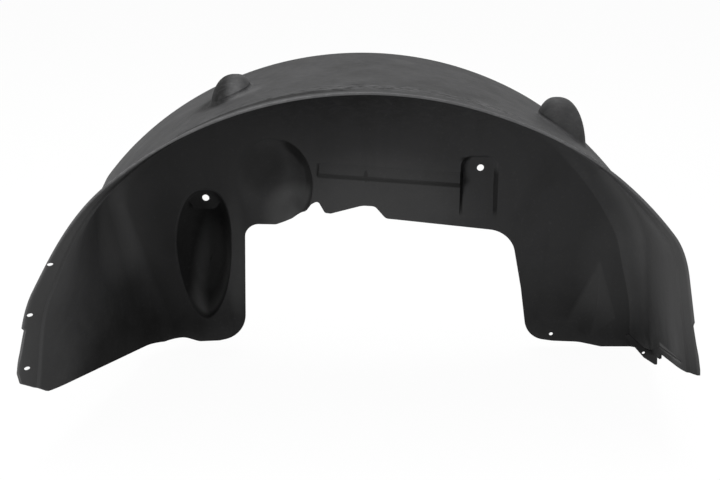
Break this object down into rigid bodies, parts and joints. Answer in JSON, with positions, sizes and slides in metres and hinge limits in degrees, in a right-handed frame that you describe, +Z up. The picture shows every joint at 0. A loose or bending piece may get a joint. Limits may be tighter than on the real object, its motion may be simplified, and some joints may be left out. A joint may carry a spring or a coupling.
{
  "type": "wheel arch liner",
  "caption": "Moulded black plastic liner for the space above a road wheel, with an arched band, a back wall cut out over the axle, pockets and fixing holes.",
  "frame": {"origin": "middle of the footprint at the level of the lowest edge", "axes": "+X along the vehicle, to the right as seen from the wheel's side; +Y from the open rim in to the back wall, parallel to the axle; +Z up"},
  "size_m": [0.7041, 0.3065, 0.3867],
  "materials": {
    "plastic": "satin, finely grained"
  },
  "bodies": {
    "root": {"arch_liner": "plastic"}
  },
  "joints": []
}
